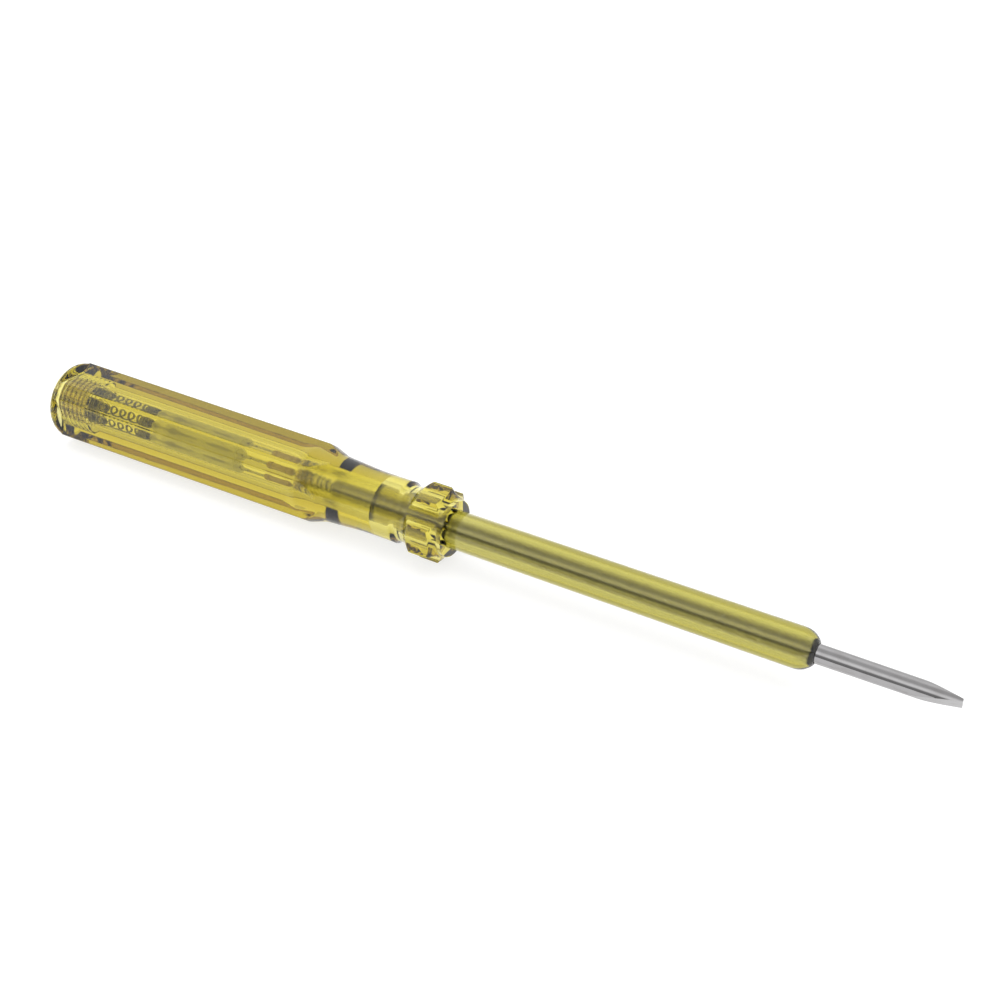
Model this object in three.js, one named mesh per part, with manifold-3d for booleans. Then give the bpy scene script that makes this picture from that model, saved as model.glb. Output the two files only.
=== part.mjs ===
// Neon mains-tester screwdriver: a clear moulded handle with the lamp circuit in its bore,
// a screw-in end contact, and a plated blade in a clear insulating sleeve.
// Millimetres. The tool lies along +X, tip towards +X, with +Z up and its lowest point on z = 0.

import * as THREE from 'three';
import { mergeGeometries, mergeVertices } from 'three/addons/utils/BufferGeometryUtils.js';
import Module from 'manifold-3d';

// ---- Driving dimensions. Every station is a distance from the rear end of the handle. ----
const TOOL_LENGTH = 190;
const ROUND_SIDES = 48; // facets round the handle's turned surfaces
const SMALL_SIDES = 24; // facets round the blade and the inner pieces
const FIT_GAP = 0.1; // radial clearance between pieces that fit together

// Grip: a square with narrow facets on its corners, drafted towards the front.
const GRIP_FLAT = 6.84; // axis to wide flat, halfway along the grip
const GRIP_CORNER = 4.52; // half the width of a wide flat
const GRIP_REAR_SCALE = 1.021;
const GRIP_FRONT_SCALE = 0.98;
const GRIP_END = 70; // the draft ends here, inside the neck
const LAND_RADIUS = 8.15; // turned ring round the rear end
const LAND_END = 1.6;
const LAND_RAMP = 2.2;
const REAR_EDGE = 1.5;

// Neck and finger guard.
const SHOULDER_START = 64.1;
const NECK_START = 68.2;
const NECK_START_RADIUS = 6.76;
const NECK_END = 85.2;
const NECK_END_RADIUS = 5.55;
const GUARD_REAR = 89.4;
const GUARD_FRONT = 92.6;
const HANDLE_LENGTH = 94.9;
const GUARD_FLAT = 7.0; // axis to the flat end of a lobe
const LOBE_HALF = 3.05; // half the width of a lobe's flat end
const NOTCH_FLOOR = 6.0; // axis to the deepest point of the scallop between two lobes
const GUARD_NOSE_RADIUS = 4.2;

// Thread that holds the end plug.
const PITCH = 1.2;
const THREAD_CREST = 3.9; // plug, outside radius
const THREAD_ROOT = 3.3; // plug, core radius
const TURN_STEPS = 24;
const SOCKET_THREAD_END = 9.4;

// Bore.
const BORE_RADIUS = 2.9;
const BORE_TAPER_START = 57;
const BORE_TAPER_END = 64;
const BORE_FRONT_RADIUS = 2.55;

// Blade and its sleeve.
const BLADE_START = 68;
const BLADE_RADIUS = 1.78;
const BLADE_TIP_RADIUS = 1.7;
const WEDGE_START = 183;
const TIP_THICKNESS = 0.5;
const TIP_ROLL = THREE.MathUtils.degToRad(30); // the edge's turn about the axis
const WING_START = 69;
const WING_END = 71;
const WING_HALF_WIDTH = 2.25;
const WING_HALF_THICKNESS = 0.9;
const SLEEVE_START = 78.8;
const SLEEVE_RADIUS = 3.75;
const SLEEVE_END = 165.6;

// End plug.
const PLUG_FACE = 0.2; // the slotted face sits this far inside the rear edge
const PLUG_SHOULDER = 7.4;
const PLUG_NOSE_END = 8;
const PLUG_PILOT_END = 9.6;
const SLOT_WIDTH = 1;
const SLOT_DEPTH = 1.3;

// Contact springs.
const SPRING_WIRE = 0.25;
const SPRING_START = 8.05;
const SPRING_END = 22.95;
const SPRING_RADIUS = 1.55;

// Lamp.
const LAMP_START = 24.2;
const LAMP_RADIUS = 2.3;
const LAMP_WALL = 0.4;
const LAMP_SEAL_END = 26.6; // the rear of the envelope is solid glass up to here
const LAMP_BEAD_START = 44.1;
const LAMP_END = 46;
const ELECTRODE_REAR = 27.6;
const ELECTRODE_REAR_TIP = 34.5;
const ELECTRODE_FRONT_TIP = 37;
const ELECTRODE_FRONT = 42.8;
const LEAD_RADIUS = 0.2;
const BUTTON_START = 23.05;
const PIN_END = 48.5;

// Resistor.
const RESISTOR_LEAD_START = 48.6;
const RESISTOR_START = 52.6;
const RESISTOR_CAP = 1.3;
const RESISTOR_END = 59;
const RESISTOR_RADIUS = 1.2;
const FRONT_DISC_START = 60.4;
const FRONT_DISC_END = 61;

const FINISHES = {
  handle: { color: 0xb5a42c, roughness: 0.08, metalness: 0 },
  sleeve: { color: 0xa9a53a, roughness: 0.1, metalness: 0 },
  platedSteel: { color: 0xb9b6b4, roughness: 0.2, metalness: 1 },
  springSteel: { color: 0x5d5d60, roughness: 0.35, metalness: 1 },
  nickel: { color: 0xb8b09a, roughness: 0.3, metalness: 1 },
  glass: { color: 0xe8eef0, roughness: 0.03, metalness: 0 },
  electrode: { color: 0x4a4340, roughness: 0.5, metalness: 1 },
  solder: { color: 0x9a9a9a, roughness: 0.4, metalness: 1 },
  lacquer: { color: 0xb39b6b, roughness: 0.4, metalness: 0 },
};

const wasm = await Module();
wasm.setup();

// ---- Helpers ----

/** Merge equal vertices, drop collapsed triangles and turn the faces outwards. */
function closedBody(geometry) {
  const bare = geometry.clone();
  bare.deleteAttribute('normal');
  bare.deleteAttribute('uv');
  const merged = mergeVertices(bare, 1e-4);
  const position = merged.attributes.position;
  const triangles = [];
  let volume = 0;
  const [a, b, c] = [new THREE.Vector3(), new THREE.Vector3(), new THREE.Vector3()];
  for (let i = 0; i < merged.index.count; i += 3) {
    const [p, q, r] = [0, 1, 2].map((k) => merged.index.getX(i + k));
    if (p === q || q === r || r === p) continue;
    triangles.push(p, q, r);
    a.fromBufferAttribute(position, p);
    b.fromBufferAttribute(position, q);
    c.fromBufferAttribute(position, r);
    volume += a.dot(b.cross(c));
  }
  merged.setIndex(volume < 0 ? triangles.reverse() : triangles);
  return merged;
}

/** A manifold solid from a closed geometry. */
function solid(geometry) {
  const body = closedBody(geometry);
  return new wasm.Manifold(new wasm.Mesh({
    numProp: 3,
    vertProperties: new Float32Array(body.attributes.position.array),
    triVerts: new Uint32Array(body.index.array),
  }));
}

/** A geometry from a manifold solid. */
function fromSolid(manifold) {
  const mesh = manifold.getMesh();
  const geometry = new THREE.BufferGeometry();
  geometry.setAttribute('position', new THREE.BufferAttribute(mesh.vertProperties, 3));
  geometry.setIndex(new THREE.BufferAttribute(mesh.triVerts, 1));
  return geometry;
}

/** Turn an outline of [station, radius] pairs about the tool's axis. */
function turned(outline, sides = SMALL_SIDES) {
  const points = outline.map(([station, radius]) => new THREE.Vector2(radius, station));
  return new THREE.LatheGeometry(points, sides).rotateZ(-Math.PI / 2);
}

/** A round bar between two stations, with an optional second radius. */
function bar(start, end, radius, endRadius = radius, sides = SMALL_SIDES) {
  return turned([[start, 0], [start, radius], [end, endRadius], [end, 0]], sides);
}

/** Extrude a cross-section, given as a Shape in (y, z), between two stations. */
function prism(section, start, end) {
  const geometry = new THREE.ExtrudeGeometry(section, {
    depth: end - start, bevelEnabled: false, curveSegments: 6,
  });
  return geometry.rotateY(Math.PI / 2).rotateX(Math.PI / 2).translate(start, 0, 0);
}

/** A closed polygon as a Shape. */
function polygon(points) {
  return new THREE.Shape(points.map(([y, z]) => new THREE.Vector2(y, z)));
}

/** Stations and radii of a fillet arc that ends tangent to the axis direction. */
function roundedNose(station, radius, innerRadius, steps) {
  const last = Math.acos(innerRadius / radius);
  return Array.from({ length: steps + 1 }, (_, i) => {
    const angle = (last * i) / steps;
    return [station + radius * Math.sin(angle), radius * Math.cos(angle)];
  });
}

/** A trapezoid ridge that winds along the axis from one station to another. */
function helicalRidge(start, end, root, crest, baseWidth, topWidth) {
  const steps = Math.round(((end - start) / PITCH) * TURN_STEPS);
  const section = [[-baseWidth, root], [-topWidth, crest], [topWidth, crest], [baseWidth, root]];
  const vertices = [];
  const triangles = [];
  for (let i = 0; i <= steps; i += 1) {
    const angle = (2 * Math.PI * i) / TURN_STEPS;
    const station = start + (PITCH * i) / TURN_STEPS;
    for (const [offset, radius] of section) {
      vertices.push(station + offset, radius * Math.cos(angle), radius * Math.sin(angle));
    }
  }
  const quad = (p, q, r, s) => triangles.push(p, q, r, p, r, s);
  for (let i = 0; i < steps; i += 1) {
    for (let k = 0; k < 4; k += 1) {
      const next = (k + 1) % 4;
      quad(4 * i + k, 4 * i + next, 4 * i + 4 + next, 4 * i + 4 + k);
    }
  }
  quad(3, 2, 1, 0);
  quad(4 * steps, 4 * steps + 1, 4 * steps + 2, 4 * steps + 3);
  const geometry = new THREE.BufferGeometry();
  geometry.setAttribute('position', new THREE.Float32BufferAttribute(vertices, 3));
  geometry.setIndex(triangles);
  return geometry;
}

/** Centre line of a coil spring, given as lengths of coil with their number of turns. */
class CoilCurve extends THREE.Curve {
  constructor(start, stretches, radiusAt) {
    super();
    this.start = start;
    this.stretches = stretches;
    this.radiusAt = radiusAt;
    this.turns = stretches.reduce((sum, stretch) => sum + stretch.turns, 0);
  }

  getPoint(u, target = new THREE.Vector3()) {
    let left = u * this.turns;
    let station = this.start;
    for (const { turns, pitch } of this.stretches) {
      const used = Math.min(left, turns);
      station += used * pitch;
      left -= used;
    }
    const angle = 2 * Math.PI * u * this.turns;
    const radius = this.radiusAt(u);
    return target.set(station, radius * Math.cos(angle), radius * Math.sin(angle));
  }
}

/** A round wire along a coil's centre line. */
function coil(curve, wireRadius, stepsPerTurn, sides) {
  const section = polygon(Array.from({ length: sides }, (_, i) => {
    const angle = (2 * Math.PI * i) / sides;
    return [wireRadius * Math.cos(angle), wireRadius * Math.sin(angle)];
  }));
  return new THREE.ExtrudeGeometry(section, {
    steps: Math.round(curve.turns * stepsPerTurn), extrudePath: curve, bevelEnabled: false,
  });
}

// ---- Pieces ----

/** Square grip with narrow corner facets, drafted by scaling each end. */
function gripStock() {
  const corners = [];
  for (let quarter = 0; quarter < 4; quarter += 1) {
    const turn = new THREE.Vector2(0, 0);
    for (const [y, z] of [[GRIP_FLAT, -GRIP_CORNER], [GRIP_FLAT, GRIP_CORNER]]) {
      const corner = new THREE.Vector2(y, z).rotateAround(turn, (quarter * Math.PI) / 2);
      corners.push([corner.x, corner.y]);
    }
  }
  const geometry = prism(polygon(corners), 0, GRIP_END);
  const position = geometry.attributes.position;
  for (let i = 0; i < position.count; i += 1) {
    const along = position.getX(i) / GRIP_END;
    const scale = THREE.MathUtils.lerp(GRIP_REAR_SCALE, GRIP_FRONT_SCALE, along);
    position.setXYZ(i, position.getX(i), position.getY(i) * scale, position.getZ(i) * scale);
  }
  return geometry;
}

/** Square guard section whose corners are scooped out by round scallops. */
function guardSection() {
  const diagonal = (GUARD_FLAT + LOBE_HALF) / Math.SQRT2;
  const halfChord = (GUARD_FLAT - LOBE_HALF) / Math.SQRT2;
  const depth = diagonal - NOTCH_FLOOR;
  const radius = (halfChord ** 2 + depth ** 2) / (2 * depth);
  const sweep = Math.asin(halfChord / radius);
  const shape = new THREE.Shape();
  shape.moveTo(GUARD_FLAT, -LOBE_HALF);
  for (let quarter = 0; quarter < 4; quarter += 1) {
    const middle = (quarter * Math.PI) / 2;
    const lobe = new THREE.Vector2(GUARD_FLAT, LOBE_HALF).rotateAround(new THREE.Vector2(), middle);
    shape.lineTo(lobe.x, lobe.y);
    const facing = middle + Math.PI / 4;
    const centre = NOTCH_FLOOR + radius;
    shape.absarc(centre * Math.cos(facing), centre * Math.sin(facing), radius,
      facing + Math.PI + sweep, facing + Math.PI - sweep, true);
  }
  return shape;
}

/** The handle: grip, neck and finger guard in one moulding, bored and threaded. */
function handle() {
  const shoulder = turned([
    [LAND_END, 0], [LAND_END, 9], [SHOULDER_START, 9],
    [SHOULDER_START, GRIP_FRONT_SCALE * Math.hypot(GRIP_FLAT, GRIP_CORNER) + 0.03],
    [NECK_START, NECK_START_RADIUS], [NECK_START, 0],
  ], ROUND_SIDES);
  const grip = solid(gripStock()).intersect(solid(shoulder));
  const flare = GUARD_REAR - NECK_END;
  const core = turned([
    [0, 0], [0, LAND_RADIUS - REAR_EDGE],
    [REAR_EDGE * 0.076, LAND_RADIUS - REAR_EDGE * 0.617],
    [REAR_EDGE * 0.293, LAND_RADIUS - REAR_EDGE * 0.293],
    [REAR_EDGE * 0.617, LAND_RADIUS - REAR_EDGE * 0.076], [REAR_EDGE, LAND_RADIUS],
    [LAND_END, LAND_RADIUS], [LAND_END + LAND_RAMP, GRIP_FLAT - 0.2],
    [SHOULDER_START, GRIP_FLAT * GRIP_FRONT_SCALE - 0.1], [NECK_START, NECK_START_RADIUS],
    [NECK_END, NECK_END_RADIUS], [NECK_END + 0.45 * flare, NECK_END_RADIUS + 0.25],
    [GUARD_FRONT, NECK_END_RADIUS + 0.25], [HANDLE_LENGTH, GUARD_NOSE_RADIUS],
    [HANDLE_LENGTH, 0],
  ], ROUND_SIDES);
  const guardStock = turned([
    [NECK_END, 0], [NECK_END, NECK_END_RADIUS], [NECK_END + 0.3 * flare, NECK_END_RADIUS + 0.12],
    [NECK_END + 0.55 * flare, NECK_END_RADIUS + 0.55], [NECK_END + 0.75 * flare, 6.7],
    [GUARD_REAR, 7.75], [GUARD_FRONT, 7.75], [HANDLE_LENGTH, GUARD_NOSE_RADIUS],
    [HANDLE_LENGTH, 0],
  ], ROUND_SIDES);
  const guard = solid(guardStock).intersect(
    solid(prism(guardSection(), NECK_END - 1, HANDLE_LENGTH + 1)),
  );
  const bore = turned([
    [-1, 0], [-1, THREAD_ROOT + FIT_GAP + 1.5], [0.5, THREAD_ROOT + FIT_GAP],
    [SOCKET_THREAD_END, THREAD_ROOT + FIT_GAP], [SOCKET_THREAD_END + 0.6, BORE_RADIUS],
    [BORE_TAPER_START, BORE_RADIUS], [BORE_TAPER_END, BORE_FRONT_RADIUS],
    [SLEEVE_START - 0.1, BORE_FRONT_RADIUS], [SLEEVE_START - 0.1, SLEEVE_RADIUS + FIT_GAP],
    [HANDLE_LENGTH + 1, SLEEVE_RADIUS + FIT_GAP], [HANDLE_LENGTH + 1, 0],
  ]);
  const groove = helicalRidge(-2 * PITCH + PLUG_FACE, SOCKET_THREAD_END - 0.4,
    THREAD_ROOT - 0.2, THREAD_CREST + FIT_GAP, 0.56, 0.22);
  return fromSolid(
    solid(core).add(grip).add(guard).subtract(solid(bore)).subtract(solid(groove)),
  );
}

/** Screw plug with a coin slot, a threaded body and a pilot for the spring. */
function endPlug() {
  const body = turned([
    [PLUG_FACE, 0], [PLUG_FACE, THREAD_ROOT - 0.3], [PLUG_FACE + 0.3, THREAD_ROOT],
    [PLUG_SHOULDER, THREAD_ROOT], [PLUG_SHOULDER, 2.6], [PLUG_NOSE_END, 2.4],
    [PLUG_NOSE_END, 1.05], [PLUG_PILOT_END, 0.9], [PLUG_PILOT_END, 0],
  ]);
  const firstTurn = PLUG_FACE + 0.6;
  const ridge = helicalRidge(firstTurn, PLUG_SHOULDER - 0.6, THREAD_ROOT - 0.2, THREAD_CREST,
    0.45, 0.13);
  // The socket's groove starts whole turns earlier, so the ridge sits centred in it.
  const lead = ((firstTurn - PLUG_FACE) / PITCH) * 2 * Math.PI;
  const slot = new THREE.BoxGeometry(2 * SLOT_DEPTH, 3 * THREAD_CREST, SLOT_WIDTH)
    .translate(PLUG_FACE, 0, 0);
  return fromSolid(solid(body).add(solid(ridge.rotateX(lead))).subtract(solid(slot)));
}

/** Coil spring with closed ends between the plug and the lamp. */
function contactSpring() {
  const tight = 2.2 * SPRING_WIRE;
  const [rearTurns, openTurns, frontTurns] = [3, 4.5, 4];
  const length = SPRING_END - SPRING_START - 2 * SPRING_WIRE;
  const open = (length - (rearTurns + frontTurns) * tight) / openTurns;
  const curve = new CoilCurve(SPRING_START + SPRING_WIRE, [
    { turns: rearTurns, pitch: tight }, { turns: openTurns, pitch: open },
    { turns: frontTurns, pitch: tight },
  ], () => SPRING_RADIUS);
  return coil(curve, SPRING_WIRE, 14, 6);
}

/** Short cone-shaped spring that carries the current from the resistor to the blade. */
function frontSpring() {
  const turns = 5;
  const start = FRONT_DISC_END + 0.25;
  const pitch = (BLADE_START - 0.25 - start) / turns;
  const curve = new CoilCurve(start, [{ turns, pitch }],
    (u) => THREE.MathUtils.lerp(1.5, 1.1, u));
  return coil(curve, 0.2, 14, 6);
}

/** Glass tube, solid at its rear end and open at the front. */
function lampEnvelope() {
  const inside = LAMP_RADIUS - LAMP_WALL;
  const hole = LEAD_RADIUS + 0.05;
  return turned([
    [LAMP_START, hole], [LAMP_START, 1.5], [LAMP_START + 0.35, 2.05],
    [LAMP_START + 1.1, LAMP_RADIUS], [LAMP_END, LAMP_RADIUS], [LAMP_END, inside],
    [LAMP_SEAL_END + 0.8, inside], [LAMP_SEAL_END, 0.8], [LAMP_SEAL_END, hole],
    [LAMP_START, hole],
  ]);
}

/** Glass bead that closes the lamp round its front lead. */
function lampBead() {
  const outside = LAMP_RADIUS - LAMP_WALL - 0.03;
  const hole = LEAD_RADIUS + 0.05;
  return turned([
    [LAMP_BEAD_START, hole], [LAMP_BEAD_START, outside * 0.6], [LAMP_BEAD_START + 0.6, outside],
    [LAMP_END, outside], [LAMP_END + 0.3, outside * 0.5], [LAMP_END + 0.3, hole],
    [LAMP_BEAD_START, hole],
  ]);
}

/** Resistor rod with its swollen ends left off for the caps. */
function resistorRod() {
  const neck = RESISTOR_RADIUS - 0.15;
  return turned([
    [RESISTOR_START + RESISTOR_CAP, 0], [RESISTOR_START + RESISTOR_CAP, RESISTOR_RADIUS],
    [RESISTOR_START + RESISTOR_CAP + 0.5, neck], [RESISTOR_END - RESISTOR_CAP - 0.5, neck],
    [RESISTOR_END - RESISTOR_CAP, RESISTOR_RADIUS], [RESISTOR_END - RESISTOR_CAP, 0],
  ]);
}

/** Rounded cap over one end of the resistor. */
function resistorCap(outer, inner) {
  const towards = Math.sign(inner - outer);
  return turned([
    [outer, 0], [outer, 0.75], [outer + 0.3 * towards, RESISTOR_RADIUS],
    [inner - 0.05 * towards, RESISTOR_RADIUS + 0.03], [inner - 0.05 * towards, 0],
  ]);
}

/** Blade: a round rod with two crimped wings and a ground wedge tip. */
function blade() {
  const rod = bar(BLADE_START, TOOL_LENGTH, BLADE_RADIUS - 0.3);
  const outline = turned([
    [BLADE_START, 0], [BLADE_START, 1.2], [BLADE_START + 0.6, BLADE_RADIUS],
    [SLEEVE_END, BLADE_RADIUS], [WEDGE_START, BLADE_TIP_RADIUS],
    [TOOL_LENGTH, BLADE_TIP_RADIUS], [TOOL_LENGTH, 0],
  ]);
  const wing = new THREE.BoxGeometry(WING_END - WING_START, 2 * WING_HALF_WIDTH,
    2 * WING_HALF_THICKNESS).translate((WING_START + WING_END) / 2, 0, 0);
  let body = solid(rod).add(solid(outline)).add(solid(wing));
  const reach = TOOL_LENGTH - WEDGE_START;
  const cheek = polygon([
    [WEDGE_START, BLADE_TIP_RADIUS], [TOOL_LENGTH + reach, -BLADE_TIP_RADIUS + TIP_THICKNESS],
    [TOOL_LENGTH + reach, 3], [WEDGE_START, 3],
  ]);
  for (const side of [0, Math.PI]) {
    const cutter = new THREE.ExtrudeGeometry(cheek, { depth: 6, bevelEnabled: false });
    cutter.translate(0, 0, -3).rotateX(TIP_ROLL + side);
    body = body.subtract(solid(cutter));
  }
  return fromSolid(body);
}

/** Clear tube over the blade with a round front end. */
function insulatingSleeve() {
  const hole = BLADE_RADIUS + 0.07;
  const nose = SLEEVE_END - Math.sqrt(SLEEVE_RADIUS ** 2 - hole ** 2);
  return turned([
    [SLEEVE_START, hole], [SLEEVE_START, SLEEVE_RADIUS - 0.3], [SLEEVE_START + 0.3, SLEEVE_RADIUS],
    ...roundedNose(nose, SLEEVE_RADIUS, hole, 7), [SLEEVE_START, hole],
  ], 32);
}

// ---- Assembly ----

const tool = new THREE.Group();
tool.name = 'mains_tester_screwdriver';
tool.position.set(-TOOL_LENGTH / 2, 0, LAND_RADIUS);

function place(name, finish, geometry) {
  const material = new THREE.MeshStandardMaterial(FINISHES[finish]);
  const mesh = new THREE.Mesh(closedBody(geometry), material);
  mesh.name = name;
  tool.add(mesh);
}

place('handle', 'handle', handle());
place('end_plug', 'nickel', endPlug());
place('contact_spring', 'springSteel', contactSpring());
place('lamp_envelope', 'glass', lampEnvelope());
place('lamp_bead', 'glass', lampBead());
place('lamp_button', 'solder', turned([
  [BUTTON_START, 0], [BUTTON_START, 0.6], [BUTTON_START + 0.4, 1.1],
  [LAMP_START - 0.05, 1.25], [LAMP_START - 0.05, 0],
]));
place('lamp_lead_rear', 'electrode', bar(LAMP_START, ELECTRODE_REAR - 0.05, LEAD_RADIUS));
place('electrode_rear', 'electrode', turned([
  [ELECTRODE_REAR, 0], [ELECTRODE_REAR, 0.6], [ELECTRODE_REAR + 0.5, 1.05],
  [ELECTRODE_REAR + 1.4, 1.05], [ELECTRODE_REAR + 2.2, 0.45],
  [ELECTRODE_REAR_TIP, 0.2], [ELECTRODE_REAR_TIP, 0],
]));
place('electrode_front', 'electrode', turned([
  [ELECTRODE_FRONT_TIP, 0], [ELECTRODE_FRONT_TIP, 0.3], [ELECTRODE_FRONT - 2.4, 0.5],
  [ELECTRODE_FRONT - 0.6, 0.5], [ELECTRODE_FRONT, 0.25], [ELECTRODE_FRONT, 0],
]));
place('lamp_lead_front', 'electrode', bar(ELECTRODE_FRONT + 0.05, LAMP_END + 0.5, LEAD_RADIUS));
place('lamp_pin', 'solder', bar(LAMP_END + 0.55, PIN_END, 0.7, 0.55));
place('resistor_lead_rear', 'solder', bar(RESISTOR_LEAD_START, RESISTOR_START - 0.05, 0.5));
place('resistor_cap_rear', 'solder', resistorCap(RESISTOR_START, RESISTOR_START + RESISTOR_CAP));
place('resistor_rod', 'lacquer', resistorRod());
place('resistor_cap_front', 'solder', resistorCap(RESISTOR_END, RESISTOR_END - RESISTOR_CAP));
place('resistor_lead_front', 'solder', bar(RESISTOR_END + 0.05, FRONT_DISC_START - 0.05, 0.3));
place('contact_disc', 'nickel', bar(FRONT_DISC_START, FRONT_DISC_END, 1.9));
place('front_spring', 'springSteel', frontSpring());
place('blade', 'platedSteel', blade());
place('insulating_sleeve', 'sleeve', insulatingSleeve());

export default tool;
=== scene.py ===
"""Neon mains tester screwdriver: the finished look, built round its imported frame.

Sizes along the tool are stations, in millimetres from the rear end of the handle. Radii are in
millimetres from the tool's axis. The Rig turns them into metres in the frame's own axes.
"""

import logging
import math
from dataclasses import dataclass
from enum import Enum
from typing import Callable, Sequence

import bmesh
import bpy
import numpy as np
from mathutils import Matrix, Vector


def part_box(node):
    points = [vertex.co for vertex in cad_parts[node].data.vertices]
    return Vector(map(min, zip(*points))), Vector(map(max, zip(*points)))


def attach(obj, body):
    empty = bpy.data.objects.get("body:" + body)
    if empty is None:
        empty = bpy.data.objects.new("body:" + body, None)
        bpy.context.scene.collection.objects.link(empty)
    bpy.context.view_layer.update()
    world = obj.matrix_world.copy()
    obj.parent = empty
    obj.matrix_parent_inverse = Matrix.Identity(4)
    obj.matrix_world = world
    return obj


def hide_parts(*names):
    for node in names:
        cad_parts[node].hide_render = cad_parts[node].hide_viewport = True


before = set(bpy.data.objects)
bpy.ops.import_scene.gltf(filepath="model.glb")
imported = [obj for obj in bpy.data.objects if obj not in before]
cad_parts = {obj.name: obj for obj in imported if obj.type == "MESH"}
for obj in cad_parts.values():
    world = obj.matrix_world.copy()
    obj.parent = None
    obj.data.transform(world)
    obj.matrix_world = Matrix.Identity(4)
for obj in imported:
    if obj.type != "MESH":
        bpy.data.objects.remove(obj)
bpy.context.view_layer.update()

MM = 0.001
FULL_TURN = 2 * math.pi

log = logging.getLogger("tester")

Outline = Sequence[tuple[float, float]]


class Body(Enum):
    """The frame's moving bodies."""

    TESTER = "tester"
    SPRING = "spring_carrier"
    PLUG = "screw_plug"


class Slot(Enum):
    """The record's material slots."""

    HANDLE = "handle_plastic"
    SLEEVE = "sleeve_plastic"
    PLATED = "plated_steel"
    SPRING = "spring_steel"
    NICKEL = "nickel"
    GLASS = "lamp_glass"
    ELECTRODE = "electrode_metal"
    TINNED = "tinned_metal"
    LACQUER = "resistor_lacquer"


# ---------------------------------------------------------------- shader graph


class Value:
    """A shader value that takes part in ordinary arithmetic, one Math node per operation."""

    def __init__(self, graph: "Graph", socket: bpy.types.NodeSocket) -> None:
        """Wrap a socket.

        Args:
            graph: The graph that new Math nodes go into.
            socket: The output socket that holds the value.
        """
        self.graph = graph
        self.socket = socket

    def _math(self, operation: str, *operands: "Value | float") -> "Value":
        """Add one Math node over the operands and return its value."""
        inputs = dict(enumerate(operands))
        node = self.graph.node("ShaderNodeMath", {"operation": operation}, inputs)
        return Value(self.graph, node.outputs[0])

    def __add__(self, other: "Value | float") -> "Value":
        """Return self + other."""
        return self._math("ADD", self, other)

    __radd__ = __add__

    def __sub__(self, other: "Value | float") -> "Value":
        """Return self - other."""
        return self._math("SUBTRACT", self, other)

    def __rsub__(self, other: float) -> "Value":
        """Return other - self."""
        return self._math("SUBTRACT", other, self)

    def __mul__(self, other: "Value | float") -> "Value":
        """Return self * other."""
        return self._math("MULTIPLY", self, other)

    __rmul__ = __mul__

    def __truediv__(self, other: "Value | float") -> "Value":
        """Return self / other."""
        return self._math("DIVIDE", self, other)

    def __pow__(self, other: "Value | float") -> "Value":
        """Return self to the power other."""
        return self._math("POWER", self, other)

    def angle_over(self, other: "Value") -> "Value":
        """Return the angle of the point (other, self), from -pi to pi."""
        return self._math("ARCTAN2", self, other)

    def absolute(self) -> "Value":
        """Return the value without its sign."""
        return self._math("ABSOLUTE", self)

    def step(self, low: float, high: float) -> "Value":
        """Return 0 below low and 1 above high, rising smoothly between them.

        Args:
            low: The value that gives 0.
            high: The value that gives 1.

        Returns:
            The smooth step.
        """
        node = self.graph.node(
            "ShaderNodeMapRange",
            {"interpolation_type": "SMOOTHSTEP"},
            {"Value": self, "From Min": low, "From Max": high},
        )
        return Value(self.graph, node.outputs["Result"])


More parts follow.
